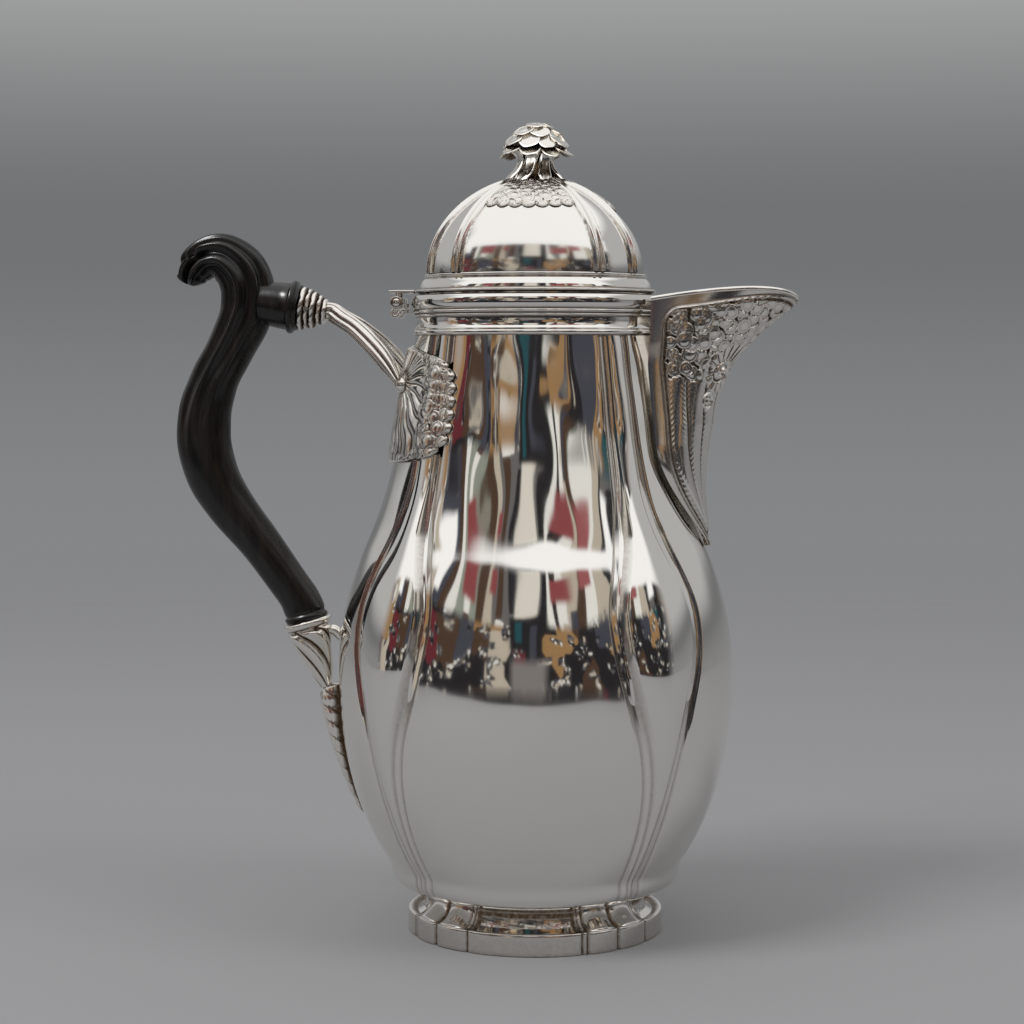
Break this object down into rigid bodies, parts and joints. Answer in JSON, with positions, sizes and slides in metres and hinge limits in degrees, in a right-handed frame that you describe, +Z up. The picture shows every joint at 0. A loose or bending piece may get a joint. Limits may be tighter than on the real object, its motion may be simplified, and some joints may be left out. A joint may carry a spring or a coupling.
{
  "type": "coffee pot",
  "caption": "Tall lobed silver coffee pot with a beak spout, a hinged domed lid with a flower finial, a panelled foot and a scrolled ebony side handle on fluted silver sockets.",
  "frame": {"origin": "centre of the foot's underside, on the pot's upright axis", "axes": "+Z up along the pot's axis, +X towards the spout, -X towards the handle, +Y across"},
  "size_m": [0.2015, 0.1272, 0.2603],
  "materials": {
    "polished_silver": "mirror polished sterling silver, faint hairlines and a trace of warm tarnish in the creases",
    "chased_silver": "cast and chased silver, bright on the high points and tarnished warm brown in the recesses",
    "ebony": "carved ebony, oiled to a satin sheen"
  },
  "bodies": {
    "pot": {"body": "polished_silver", "foot": "polished_silver", "foot_bead": "polished_silver", "neck_band": "polished_silver", "rim_ring": "polished_silver", "spout_lip": "polished_silver", "hinge_body_leaf": "polished_silver", "hinge_pin": "polished_silver", "spout_strainer": "polished_silver", "spout": "chased_silver", "upper_mount": "chased_silver", "arm_front": "chased_silver", "arm_back": "chased_silver", "upper_ferrule": "chased_silver", "upper_pin": "chased_silver", "lower_cup": "chased_silver", "lower_pin": "chased_silver", "lower_leaf": "chased_silver", "lower_strut": "chased_silver", "handle": "ebony"},
    "lid": {"lid_dome": "polished_silver", "lid_rim": "polished_silver", "lid_bezel": "polished_silver", "lid_frieze": "chased_silver", "finial_stem": "chased_silver", "finial_blossom": "chased_silver", "finial_stud": "polished_silver", "finial_nut": "polished_silver", "hinge_lid_leaf": "polished_silver"}
  },
  "joints": [
    {"name": "lid_hinge", "type": "hinge", "parent": "pot", "child": "lid", "pos_m": [-0.044, 0, 0.2028], "axis": [0, -1, 0], "range_deg": [0, 95]}
  ]
}
